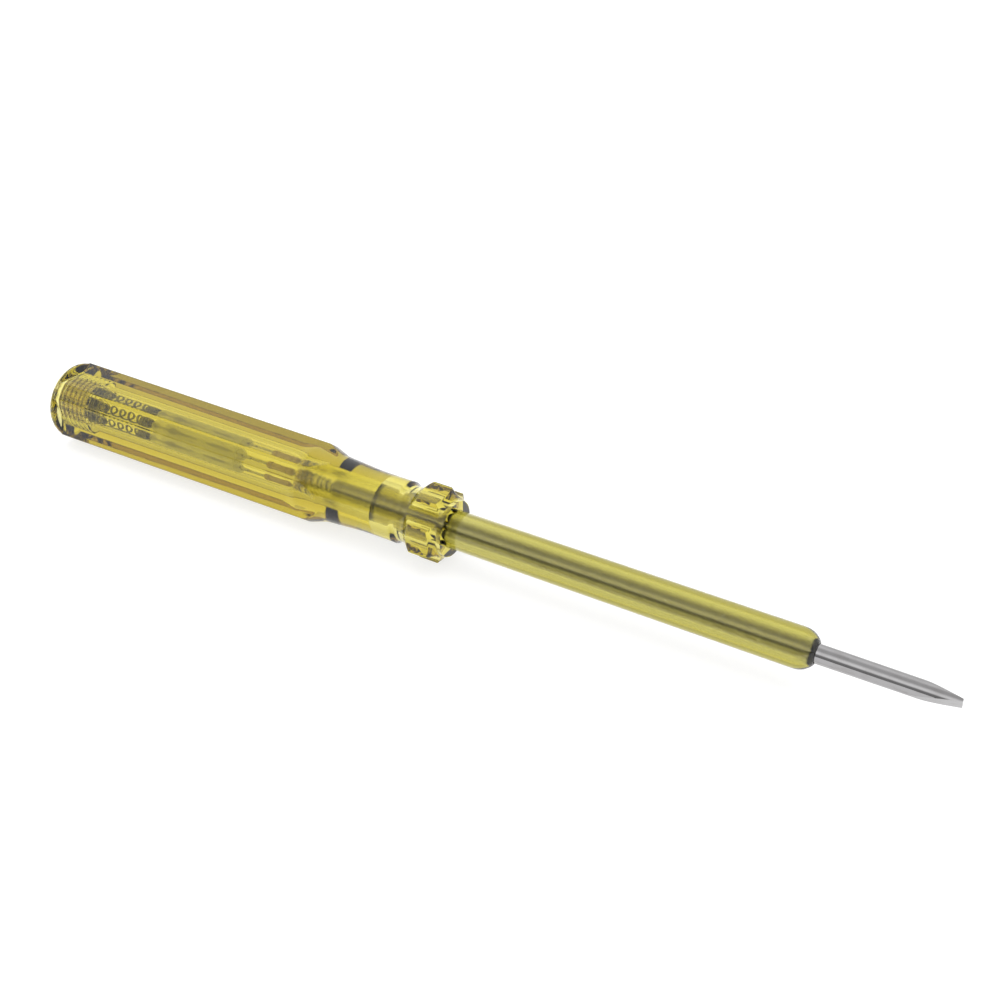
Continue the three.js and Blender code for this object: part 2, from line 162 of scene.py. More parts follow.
class Graph:
    """A node tree with one method that adds every kind of node."""

    def __init__(self, tree: bpy.types.NodeTree) -> None:
        """Empty the tree and keep it.

        Args:
            tree: A material's or the world's node tree.
        """
        self.tree = tree
        tree.nodes.clear()

    def node(
        self,
        kind: str,
        settings: dict[str, object] | None = None,
        inputs: dict[str | int, object] | None = None,
    ) -> bpy.types.Node:
        """Add a node, set it up, then feed it.

        Args:
            kind: The node's type, such as "ShaderNodeTexNoise".
            settings: Its properties; "stops" are a colour ramp's (place, colour) pairs.
            inputs: Numbers, colours, sockets or Values for its sockets, by name or index.

        Returns:
            The new node.
        """
        made = self.tree.nodes.new(kind)
        for name, setting in (settings or {}).items():
            if name == "stops":
                self._set_stops(made.color_ramp, setting)
            else:
                setattr(made, name, setting)
        for name, given in (inputs or {}).items():
            source = given.socket if isinstance(given, Value) else given
            if isinstance(source, bpy.types.NodeSocket):
                self.tree.links.new(source, made.inputs[name])
            else:
                made.inputs[name].default_value = source
        return made

    @staticmethod
    def _set_stops(ramp: bpy.types.ColorRamp, stops: Sequence[tuple[float, tuple]]) -> None:
        """Give a colour ramp its stops."""
        while len(ramp.elements) < len(stops):
            ramp.elements.new(1.0)
        for element, (place, colour) in zip(ramp.elements, stops):
            element.position = place
            element.color = (*colour, 1.0)

    def place(self, scale: tuple[float, float, float]) -> bpy.types.NodeSocket:
        """Return the piece's own coordinates in millimetres, stretched by scale."""
        here = self.node("ShaderNodeTexCoord").outputs["Object"]
        factor = tuple(s / MM for s in scale)
        node = self.node(
            "ShaderNodeVectorMath", {"operation": "MULTIPLY"}, {0: here, 1: factor}
        )
        return node.outputs[0]

    def noise(
        self, scale: tuple[float, float, float], detail: float = 3.0, roughness: float = 0.5
    ) -> Value:
        """Return noise whose grain is 1/scale millimetres along each axis.

        Args:
            scale: Grains per millimetre along x, y and z.
            detail: Octaves of finer noise.
            roughness: The strength of each finer octave.

        Returns:
            The noise, near 0.5 on average.
        """
        node = self.node(
            "ShaderNodeTexNoise",
            {},
            {"Vector": self.place(scale), "Scale": 1.0, "Detail": detail, "Roughness": roughness},
        )
        return Value(self, node.outputs[0])

    def along(self, axis: int) -> Value:
        """Return one of the piece's own coordinates, in millimetres."""
        split = self.node("ShaderNodeSeparateXYZ", {}, {0: self.place((1, 1, 1))})
        return Value(self, split.outputs[axis])

    def blend(
        self, factor: Value | float, first: object, second: object
    ) -> bpy.types.NodeSocket:
        """Return a colour between first and second.

        Args:
            factor: 0 gives first and 1 gives second.
            first: A colour or a colour socket.
            second: A colour or a colour socket.

        Returns:
            The mixed colour's socket.
        """
        colours = [(*c, 1.0) if isinstance(c, tuple) else c for c in (first, second)]
        node = self.node(
            "ShaderNodeMix",
            {"data_type": "RGBA"},
            {0: factor, 6: colours[0], 7: colours[1]},
        )
        return node.outputs[2]

    def bump(self, height: Value, depth: float) -> bpy.types.NodeSocket:
        """Return a normal bent by a height map.

        Args:
            height: The height, about 0 to 1.
            depth: How far 1 stands out, in millimetres.

        Returns:
            The normal's socket.
        """
        node = self.node("ShaderNodeBump", {}, {"Height": height, "Distance": depth * MM})
        return node.outputs[0]


@dataclass(frozen=True)
class Finish:
    """A surface finish. Each kind fills in its own shader."""

    name: str

    def shader(self, graph: Graph) -> bpy.types.Node:
        """Build the finish's surface shader.

        Args:
            graph: The material's graph.

        Returns:
            The shader node for the material's surface.
        """
        raise NotImplementedError

    def volume(self, graph: Graph) -> bpy.types.Node | None:
        """Return the shader of what is inside the surface, or None if nothing shows."""
        return None

    def material(self) -> bpy.types.Material:
        """Return this finish's material, made the first time that it is asked for."""
        known = bpy.data.materials.get(self.name)
        if known is not None:
            return known
        made = bpy.data.materials.new(self.name)
        made.use_nodes = True
        graph = Graph(made.node_tree)
        links = {"Surface": self.shader(graph).outputs[0]}
        inside = self.volume(graph)
        if inside is not None:
            links["Volume"] = inside.outputs[0]
        graph.node("ShaderNodeOutputMaterial", {}, links)
        return made


@dataclass(frozen=True)
class ClearPlastic(Finish):
    """Clear tinted moulding plastic: polished outside, with faint flow ripples and scuffs."""

    absorbed: tuple[float, float, float] = (0.05, 0.07, 0.35)  # per millimetre, by colour
    ripple: float = 0.012
    contact_radius: float = 0.0  # inside this radius the wall touches metal in patches
    contact_start: float = -1000.0  # the x, in millimetres, where those patches start

    def shader(self, graph: Graph) -> bpy.types.Node:
        """Build a refracting shader with moulding ripples and fine scuffs."""
        ripple = graph.noise((0.12, 0.5, 0.5), detail=2.0)
        scuff = graph.noise((0.6, 9.0, 9.0), detail=5.0, roughness=0.7).step(0.62, 0.8)
        height = ripple + scuff * 0.04
        rough = 0.03 + scuff * 0.1
        if self.contact_radius:
            speck = graph.noise((1.6, 3.2, 3.2), detail=6.0, roughness=0.75)
            inner = 1.0 - self._radius(graph).step(self.contact_radius, self.contact_radius + 0.3)
            inner = inner * graph.along(0).step(self.contact_start - 1, self.contact_start + 1)
            height = height + speck * inner * 6.0
            rough = rough + speck.step(0.45, 0.7) * inner * 0.25
        return graph.node(
            "ShaderNodeBsdfPrincipled",
            {},
            {
                "Base Color": (1.0, 0.985, 0.93, 1.0),
                "Transmission Weight": 1.0,
                "IOR": 1.49,
                "Roughness": rough,
                "Normal": graph.bump(height, self.ripple),
            },
        )

    @staticmethod
    def _radius(graph: Graph) -> Value:
        """Return the distance from the tool's axis, in millimetres."""
        across = graph.along(1)
        up = graph.along(2) - Rig.axis_height() / MM
        return (across**2.0 + up**2.0) ** 0.5

    def volume(self, graph: Graph) -> bpy.types.Node:
        """Build the plastic's tint, which deepens with its thickness."""
        strongest = max(self.absorbed)
        colour = tuple(1 - 0.9 * a / strongest for a in self.absorbed)
        return graph.node(
            "ShaderNodeVolumeAbsorption",
            {},
            {"Color": (*colour, 1.0), "Density": strongest / 0.9 / MM},
        )


@dataclass(frozen=True)
class LampGlass(Finish):
    """Clear drawn glass with a faint grey haze in places."""

    def shader(self, graph: Graph) -> bpy.types.Node:
        """Build clear glass that is slightly uneven along the tube."""
        haze = graph.noise((0.3, 0.6, 0.6), detail=3.0)
        return graph.node(
            "ShaderNodeBsdfPrincipled",
            {},
            {
                "Base Color": graph.blend(haze.step(0.5, 0.8), (1.0, 1.0, 1.0), (0.93, 0.93, 0.9)),
                "Transmission Weight": 1.0,
                "IOR": 1.5,
                "Roughness": haze * 0.004,
                "Normal": graph.bump(graph.noise((0.1, 0.7, 0.7)), 0.0006),
            },
        )


@dataclass(frozen=True)
class WorkedMetal(Finish):
    """Metal with drawing or turning lines, small dents and a dull film in places."""

    bright: tuple[float, float, float] = (0.8, 0.8, 0.8)
    dull: tuple[float, float, float] = (0.6, 0.6, 0.6)
    polish: float = 0.12  # roughness of the bright parts
    film: float = 0.2  # roughness added where the film is
    grain: tuple[float, float, float] = (0.05, 12.0, 12.0)  # lines per millimetre
    depth: float = 0.002

    def shader(self, graph: Graph) -> bpy.types.Node:
        """Build a metal whose lines follow the way it was worked."""
        lines = graph.noise(self.grain, detail=4.0, roughness=0.6)
        patches = graph.noise((0.4, 0.8, 0.8), detail=5.0, roughness=0.6).step(0.42, 0.72)
        pits = graph.noise((3.0, 3.0, 3.0), detail=2.0).step(0.68, 0.78)
        tone = patches * 0.6 + lines * 0.25 + pits * 0.3
        return graph.node(
            "ShaderNodeBsdfPrincipled",
            {},
            {
                "Base Color": graph.blend(tone, self.bright, self.dull),
                "Metallic": 1.0,
                "Roughness": self.polish + patches * self.film + lines * 0.04,
                "Normal": graph.bump(lines * 0.7 - pits * 0.6 + patches * 0.3, self.depth),
            },
        )


@dataclass(frozen=True)
class ResistorLacquer(Finish):
    """Beige lacquer with painted bands round the resistor."""

    ground: tuple[float, float, float] = (0.78, 0.66, 0.42)
    bands: tuple[tuple[float, tuple[float, float, float]], ...] = ()
    band_half: float = 0.22

    def shader(self, graph: Graph) -> bpy.types.Node:
        """Build the lacquer, its bands and its slightly lumpy dip coat."""
        wobble = graph.noise((1.0, 1.2, 1.2), detail=2.0)
        mottle = graph.noise((2.5, 2.5, 2.5), detail=4.0)
        shade = tuple(0.7 * c for c in self.ground)
        colour = graph.blend(mottle.step(0.35, 0.75), self.ground, shade)
        along = graph.along(0) + (wobble - 0.5) * 0.25
        for place, paint in self.bands:
            away = (along - place).absolute()
            band = 1.0 - away.step(self.band_half - 0.06, self.band_half + 0.06)
            colour = graph.blend(band, colour, paint)
        return graph.node(
            "ShaderNodeBsdfPrincipled",
            {},
            {
                "Base Color": colour,
                "Roughness": 0.28 + mottle * 0.2,
                "Normal": graph.bump(wobble + mottle * 0.4, 0.03),
            },
        )


@dataclass(frozen=True)
class StudioFloor(Finish):
    """Plain pale light table, lit from below."""

    glow: float = 0.72

    def shader(self, graph: Graph) -> bpy.types.Node:
        """Build a matt, near-white surface with a trace of unevenness."""
        drift = graph.noise((0.002, 0.002, 0.002), detail=2.0)
        return graph.node(
            "ShaderNodeBsdfPrincipled",
            {},
            {
                "Base Color": graph.blend(drift, (0.36, 0.36, 0.36), (0.33, 0.33, 0.33)),
                "Roughness": 0.8,
                "Specular IOR Level": 0.2,
                "Emission Color": (1.0, 1.0, 1.0, 1.0),
                "Emission Strength": self.glow,
            },
        )


# ---------------------------------------------------------------- mesh making


class Rig:
    """Where the tool's axis lies in the frame."""

    @staticmethod
    def rear() -> float:
        """Return the x of the handle's rear end, in metres."""
        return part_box("handle")[0].x

    @staticmethod
    def axis_height() -> float:
        """Return the axis's height over the floor, in metres."""
        low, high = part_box("handle")
        return (low.z + high.z) / 2

    @staticmethod
    def points(station: np.ndarray, across: np.ndarray, up: np.ndarray) -> np.ndarray:
        """Turn places in millimetres about the axis into frame coordinates.

        Args:
            station: Distances from the rear end.
            across: Distances from the axis along +Y.
            up: Distances from the axis along +Z.

        Returns:
            One row of x, y and z in metres for each point.
        """
        x = Rig.rear() + np.asarray(station) * MM
        y = np.asarray(across) * MM
        z = Rig.axis_height() + np.asarray(up) * MM
        return np.stack(np.broadcast_arrays(x, y, z), axis=-1).reshape(-1, 3)


def smooth_min(first: np.ndarray, second: np.ndarray, width: float) -> np.ndarray:
    """Return the smaller of two arrays, with the corner between them rounded.

    Args:
        first: One array.
        second: The other array.
        width: How far from equal the rounding reaches.

    Returns:
        The rounded minimum.
    """
    share = np.clip(0.5 + 0.5 * (second - first) / width, 0, 1)
    return second + (first - second) * share - width * share * (1 - share)


def smooth_max(first: np.ndarray, second: np.ndarray, width: float) -> np.ndarray:
    """Return the larger of two arrays, with the corner between them rounded."""
    return -smooth_min(-first, -second, width)


def soften(outline: Outline, radius: float, steps: int = 4) -> list[tuple[float, float]]:
    """Round the corners of an outline.

    Args:
        outline: Points of a polyline.
        radius: The fillet's reach along each side, cut down on short sides.
        steps: Segments in each fillet.

    Returns:
        The outline with each inner corner replaced by a short curve.
    """
    points = [Vector(p) for p in outline]
    rounded = [tuple(points[0])]
    for before, corner, after in zip(points, points[1:], points[2:]):
        reach = min(radius, 0.45 * (before - corner).length, 0.45 * (after - corner).length)
        start = corner + (before - corner).normalized() * reach
        end = corner + (after - corner).normalized() * reach
        for i in range(steps + 1):
            t = i / steps
            rounded.append(tuple((1 - t) ** 2 * start + 2 * t * (1 - t) * corner + t * t * end))
    return [*rounded, tuple(points[-1])]


def rod_outline(
    start: float, end: float, rear: float, front: float | None = None
) -> list[tuple[float, float]]:
    """Return the outline of a short rod with softened edges.

    Args:
        start: The station of its rear end.
        end: The station of its front end.
        rear: Its radius at the rear.
        front: Its radius at the front, or None if it is the same.

    Returns:
        The outline, from the axis back to the axis.
    """
    thin = rear if front is None else front
    return soften([(start, 0.0), (start, rear), (end, thin), (end, 0.0)], 0.15)


def even_angles(count: int) -> np.ndarray:
    """Return count angles spaced evenly round a turn."""
    return np.arange(count) * FULL_TURN / count


def tube_faces(rows: int, columns: int) -> list[tuple[int, ...]]:
    """Return the quads of a skin of closed rings, facing away from the axis.

    Args:
        rows: The number of rings.
        columns: The number of points in a ring.

    Returns:
        Quads as tuples of point indices.
    """
    faces = []
    for row in range(rows - 1):
        base = row * columns
        for column in range(columns):
            after = (column + 1) % columns
            ahead = base + columns
            faces.append((base + column, base + after, ahead + after, ahead + column))
    return faces


def end_caps(rows: int, columns: int) -> list[tuple[int, ...]]:
    """Return the two faces that close a skin of rings at its ends.

    Args:
        rows: The number of rings.
        columns: The number of points in a ring.

    Returns:
        The first ring's face and the last ring's face.
    """
    last = (rows - 1) * columns
    return [tuple(range(columns)), tuple(range(last, last + columns))]


def mesh_piece(
    name: str, points: np.ndarray, faces: Sequence[Sequence[int]], sharp: float | None = None
) -> bpy.types.Object:
    """Make a smooth-shaded object from points and faces.

    Args:
        name: The piece's name.
        points: Coordinates in metres, one row each.
        faces: Point indices of each face.
        sharp: Edges bent more than this many degrees stay crisp.

    Returns:
        The new object, with its faces turned outwards.
    """
    mesh = bpy.data.meshes.new(name)
    mesh.from_pydata(points.tolist(), [], [list(f) for f in faces])
    work = bmesh.new()
    work.from_mesh(mesh)
    bmesh.ops.remove_doubles(work, verts=work.verts, dist=1e-7)
    bmesh.ops.recalc_face_normals(work, faces=work.faces)
    work.to_mesh(mesh)
    work.free()
    mesh.shade_smooth()
    if sharp is not None:
        mesh.set_sharp_from_angle(angle=math.radians(sharp))
    piece = bpy.data.objects.new(name, mesh)
    bpy.context.scene.collection.objects.link(piece)
    return piece


def turned(
    name: str, outline: Outline, sides: int = 64, sharp: float | None = 40
) -> bpy.types.Object:
    """Turn an outline of (station, radius) pairs about the tool's axis.

    Args:
        name: The piece's name.
        outline: It starts and ends on the axis, or closes on itself.
        sides: Points round each ring.
        sharp: Edges bent more than this many degrees stay crisp.

    Returns:
        The turned piece.
    """
    angle = even_angles(sides)
    rings = [(s, max(r, 0.0)) for s, r in outline]
    station = np.array([s for s, _ in rings])[:, None]
    radius = np.array([r for _, r in rings])[:, None]
    points = Rig.points(station, radius * np.cos(angle), radius * np.sin(angle))
    return mesh_piece(name, points, tube_faces(len(rings), sides), sharp)


def skin(
    station: np.ndarray, angle: np.ndarray, radius: Callable[[np.ndarray, np.ndarray], np.ndarray]
) -> np.ndarray:
    """Return the points of a skin whose radius changes with station and angle.

    Args:
        station: The stations of its rings.
        angle: The angles of each ring's points.
        radius: Gives the radius at each station and angle.

    Returns:
        Points in metres, ring by ring.
    """
    rows, columns = np.meshgrid(station, angle, indexing="ij")
    reach = radius(rows, columns)
    return Rig.points(rows, reach * np.cos(columns), reach * np.sin(columns))


def wire(
    name: str, path: np.ndarray, thickness: float, sides: int = 12
) -> bpy.types.Object:
    """Draw a round wire with domed ends along a path.

    Args:
        name: The piece's name.
        path: Rows of station, across and up, in millimetres.
        thickness: The wire's diameter.
        sides: Points round the wire.

    Returns:
        The wire.
    """
    tangent = np.gradient(path, axis=0)
    tangent /= np.linalg.norm(tangent, axis=1)[:, None]
    outward = path * (0.0, 1.0, 1.0)
    outward -= (outward * tangent).sum(axis=1)[:, None] * tangent
    outward /= np.linalg.norm(outward, axis=1)[:, None]
    side = np.cross(tangent, outward)
    radius = thickness / 2
    dome = [(-math.cos(a), math.sin(a)) for a in np.linspace(0.25, math.pi / 2, 4)[:-1]]
    rings = [(path[0] + tangent[0] * radius * a, 0, b) for a, b in dome]
    rings += [(point, i, 1.0) for i, point in enumerate(path)]
    rings += [(path[-1] - tangent[-1] * radius * a, -1, b) for a, b in reversed(dome)]
    points = []
    for centre, i, share in rings:
        for angle in even_angles(sides):
            reach = radius * share
            points.append(
                centre + reach * (math.cos(angle) * outward[i] + math.sin(angle) * side[i])
            )
    faces = tube_faces(len(rings), sides) + end_caps(len(rings), sides)
    stack = np.array(points)
    return mesh_piece(name, Rig.points(stack[:, 0], stack[:, 1], stack[:, 2]), faces)


def settle(
    piece: bpy.types.Object, finish: Finish, body: Body, slot: Slot, *nodes: str
) -> bpy.types.Object:
    """Dress a piece, put it on its body and let it stand for its CAD nodes.

    Args:
        piece: The new piece.
        finish: Its finish.
        body: The body that it rides on.
        slot: The record's slot for the piece's finish; not used.
        *nodes: The CAD nodes that it replaces.

    Returns:
        The piece.
    """
    piece.data.materials.clear()
    piece.data.materials.append(finish.material())
    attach(piece, body.value)
    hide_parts(*nodes)
    log.info("%s: %d faces", piece.name, len(piece.data.polygons))
    return piece


# ---------------------------------------------------------------- finishes

SKY_PEAK = 2.5
# The studio's neutral light as (place, brightness), from the near horizon (0) over the top (0.5)
# to the far horizon (1).
STUDIO_SKY = (
    (0.0, 0.35), (0.14, 0.4), (0.22, 1.5), (0.3, 1.5), (0.42, 0.8), (0.55, 0.8),
    (0.7, 1.3), (1.0, 0.9),
)

HANDLE_PLASTIC = ClearPlastic(
    "handle_clear_yellow",
    absorbed=(0.05, 0.066, 0.31),
    contact_radius=2.75,
    contact_start=-35.0,
)
SLEEVE_PLASTIC = ClearPlastic(
    "sleeve_clear_yellow", absorbed=(0.13, 0.145, 0.46), contact_radius=2.0
)
LAMP_GLASS = LampGlass("lamp_glass")
BLADE_PLATING = WorkedMetal(
    "bright_plating", bright=(0.37, 0.365, 0.37), dull=(0.3, 0.29, 0.29), polish=0.03, film=0.04
)
SPRING_WIRE = WorkedMetal(
    "spring_wire", bright=(0.3, 0.3, 0.31), dull=(0.1, 0.09, 0.09), polish=0.25, film=0.3
)
PLUG_NICKEL = WorkedMetal(
    "turned_nickel",
    bright=(0.66, 0.6, 0.48),
    dull=(0.42, 0.36, 0.26),
    polish=0.16,
    film=0.2,
    grain=(9.0, 0.3, 0.3),
)
ELECTRODE = WorkedMetal(
    "oxidised_electrode", bright=(0.08, 0.06, 0.05), dull=(0.02, 0.015, 0.015), polish=0.45
)
TINNED = WorkedMetal(
    "tinned_wire", bright=(0.6, 0.6, 0.58), dull=(0.3, 0.29, 0.27), polish=0.22, film=0.25
)


# ---------------------------------------------------------------- pieces


@dataclass
class ScrewThread:
    """The thread between the handle and the end plug."""

    pitch: float = 1.2
    start: float = -2.2  # a station where the groove's middle is at angle 0

    def ridge(
        self, station: np.ndarray, angle: np.ndarray, base: float, top: float
    ) -> np.ndarray:
        """Return the thread's height, from 0 at its root to 1 at its crest.

        Args:
            station: Stations.
            angle: Angles about the axis.
            base: Half the ridge's width at its root.
            top: Half its width at its crest.

        Returns:
            The height at each point.
        """
        turns = (station - self.start) / self.pitch - angle / FULL_TURN
        away = np.abs(turns - np.round(turns)) * self.pitch
        return np.clip((base - away) / (base - top), 0, 1)


@dataclass
class Handle:
    """Clear moulded handle: square grip, neck, lobed finger guard, bore and inner thread."""

    thread: ScrewThread
    grip_flat: float = 6.84
    grip_corner: float = 4.52
    rear_scale: float = 1.021
    front_scale: float = 0.98
    draft_length: float = 70.0
    edge_round: float = 0.12
    land_radius: float = 8.15
    land_end: float = 1.6
    land_ramp: float = 2.2
    land_drop: float = 2.0
    rear_edge: float = 1.5
    shoulder_start: float = 64.1
    neck_start: float = 68.2
    neck_start_radius: float = 6.76
    neck_end: float = 85.2
    neck_end_radius: float = 5.55
    guard_front: float = 92.6
    length: float = 94.9
    guard_flat: float = 7.0
    lobe_half: float = 3.05
    notch_floor: float = 6.0
    guard_reach: float = 7.75
    nose_radius: float = 4.2
    flare_radius: float = 3.6
    flare_share: float = 0.72  # the part of the flare's radius that the curve runs along
    flare_slope: float = 1.04  # the straight part after the curve
    thread_root: float = 3.4
    thread_depth: float = 0.6
    thread_end: float = 9.2
    groove_base: float = 0.56
    groove_crest: float = 0.22
    socket_end: float = 9.4
    bore_start: float = 10.0
    bore: float = 2.9
    taper_start: float = 57.0
    taper_end: float = 64.0
    front_bore: float = 2.55
    sleeve_seat: float = 78.7
    sleeve_bore: float = 3.8

    @staticmethod
    def folded(angle: np.ndarray) -> np.ndarray:
        """Return each angle's distance from the nearest quarter turn, 0 to pi/4."""
        quarter = math.pi / 2
        return np.abs((angle + quarter / 2) % quarter - quarter / 2)

    def grip(self, station: np.ndarray, angle: np.ndarray) -> np.ndarray:
        """Return the radius of the drafted grip with its narrow corner facets."""
        off = self.folded(angle)
        facet = (self.grip_flat + self.grip_corner) / math.sqrt(2)
        section = smooth_min(
            self.grip_flat / np.cos(off), facet / np.cos(math.pi / 4 - off), self.edge_round
        )
        along = station / self.draft_length
        return section * (self.rear_scale + (self.front_scale - self.rear_scale) * along)

    def guard_section(self, angle: np.ndarray) -> np.ndarray:
        """Return the radius of the guard's lobes and scallops."""
        diagonal = (self.guard_flat + self.lobe_half) / math.sqrt(2)
        half_chord = (self.guard_flat - self.lobe_half) / math.sqrt(2)
        depth = diagonal - self.notch_floor
        round_cut = (half_chord**2 + depth**2) / (2 * depth)
        centre = self.notch_floor + round_cut
        off = self.folded(angle)
        slant = math.pi / 4 - off
        inside = round_cut**2 - (centre * np.sin(slant)) ** 2
        scallop = centre * np.cos(slant) - np.sqrt(np.maximum(inside, 0))
        scallop = np.where(inside > 0, scallop, 9.0)
        return smooth_min(self.guard_flat / np.cos(off), scallop, self.edge_round)

    def outside(self, station: np.ndarray, angle: np.ndarray) -> np.ndarray:
        """Return the handle's outer radius.

        Args:
            station: Stations.
            angle: Angles about the axis.

        Returns:
            The radius at each point.
        """
        corner = self.front_scale * math.hypot(self.grip_flat, self.grip_corner) + 0.03
        fall = (corner - self.neck_start_radius) / (self.neck_start - self.shoulder_start)
        shoulder = corner - fall * (station - self.shoulder_start)
        body = smooth_min(self.grip(station, angle), shoulder, self.edge_round)

        slope = (self.neck_start_radius - self.neck_end_radius) / (self.neck_end - self.neck_start)
        neck = self.neck_end_radius + slope * (self.neck_end - station)
        curve_end = self.flare_share * self.flare_radius
        flare_x = np.clip(station - self.neck_end, 0, curve_end)
        flare = self.neck_end_radius + self.flare_radius
        flare -= np.sqrt(self.flare_radius**2 - flare_x**2)
        flare += np.maximum(station - self.neck_end - curve_end, 0) * self.flare_slope
        neck = np.where(station < self.neck_end, neck, self.neck_end_radius)
        neck = np.where(station < self.shoulder_start - 2, 0, neck)
        body = smooth_max(body, neck, 0.1)

        round_part = self.rear_edge - np.clip(station, 0, self.rear_edge)
        land = self.land_radius - self.rear_edge
        land = land + np.sqrt(self.rear_edge**2 - round_part**2)
        ramp = np.clip((station - self.land_end) / self.land_ramp, 0, 1)
        body = smooth_max(body, land - self.land_drop * ramp * ramp * (3 - 2 * ramp), 0.1)
        body = np.minimum(body, self.land_radius + 0.4)
        body = np.where(station < self.rear_edge, np.minimum(body, land), body)

        drop = (self.guard_reach - self.nose_radius) / (self.length - self.guard_front)
        nose = self.nose_radius + drop * (self.length - station)
        lobes = smooth_min(self.guard_section(angle), flare, 0.15)
        lobes = smooth_min(lobes, nose, 0.15)
        behind = station < self.neck_end - 0.5
        return np.where(behind, body, smooth_max(neck, lobes, 0.05))

    def inside(self, station: np.ndarray, angle: np.ndarray) -> np.ndarray:
        """Return the bore's radius, with the thread cut into its rear end."""
        ridge = self.thread.ridge(station, angle, self.groove_base, self.groove_crest)
        fade = np.clip((self.thread_end - station) / 0.4, 0, 1)
        mouth = np.maximum(0.5 - station, 0)
        threaded = self.thread_root + self.thread_depth * ridge * fade + mouth
        plain = np.interp(
            station,
            (self.socket_end, self.bore_start, self.taper_start, self.taper_end,
             self.sleeve_seat, self.sleeve_seat + 0.02),
            (self.thread_root, self.bore, self.bore, self.front_bore, self.front_bore,
             self.sleeve_bore),
        )
        return np.where(station < self.socket_end, threaded, plain)

    def angles(self) -> np.ndarray:
        """Return ring angles that crowd at the edges of the facets, lobes and scallops."""
        facet = math.degrees(math.atan2(self.grip_corner, self.grip_flat))
        lobe = math.degrees(math.atan2(self.lobe_half, self.guard_flat))
        quarter = list(np.arange(0, 90, 2.5))
        for edge in (facet, lobe):
            for offset in (-1.6, -0.8, 0.0, 0.8, 1.6):
                quarter += [edge + offset, 90 - edge + offset]
        quarter = np.unique(np.round(np.array(quarter) % 90, 2))
        apart = np.diff(np.append(quarter, quarter[0] + 90)) > 0.5
        return np.radians(np.concatenate([quarter[apart] + 90 * turn for turn in range(4)]))

    def build(self) -> bpy.types.Object:
        """Build the moulding as one closed skin: outside, front face, bore and rear face."""
        outer = np.concatenate([
            self.rear_edge * (1 - np.cos(np.linspace(0, math.pi / 2, 13))),
            np.arange(self.rear_edge + 0.12, 4.0, 0.12), np.arange(4.2, 62.5, 1.5),
            np.arange(62.8, 69.4, 0.14), np.arange(69.8, 84.6, 0.6),
            np.arange(84.7, self.length, 0.1), [self.length],
        ])
        inner = np.concatenate([
            [self.length, self.length - 0.2], np.arange(90, self.sleeve_seat + 1, -3.0),
            [self.sleeve_seat + step for step in (0.2, 0.02, 0.0, -0.2)],
            np.arange(74, self.taper_end, -2.0), np.arange(self.taper_end, self.taper_start, -1.0),
            np.arange(self.taper_start, 11, -2.0), [10.4, 10.0, 9.8, 9.6, 9.4],
            np.arange(9.3, 0.55, -0.075), [0.5, 0.4, 0.3, 0.2, 0.1, 0.0],
        ])
        angle = self.angles()
        points = np.concatenate([skin(outer, angle, self.outside), skin(inner, angle, self.inside)])
        rows = len(outer) + len(inner)
        faces = tube_faces(rows, len(angle))
        last = (rows - 1) * len(angle)
        for column in range(len(angle)):
            after = (column + 1) % len(angle)
            faces.append((last + column, last + after, after, column))
        piece = mesh_piece("handle_moulding", points, faces, sharp=50)
        return settle(piece, HANDLE_PLASTIC, Body.TESTER, Slot.HANDLE, "handle")


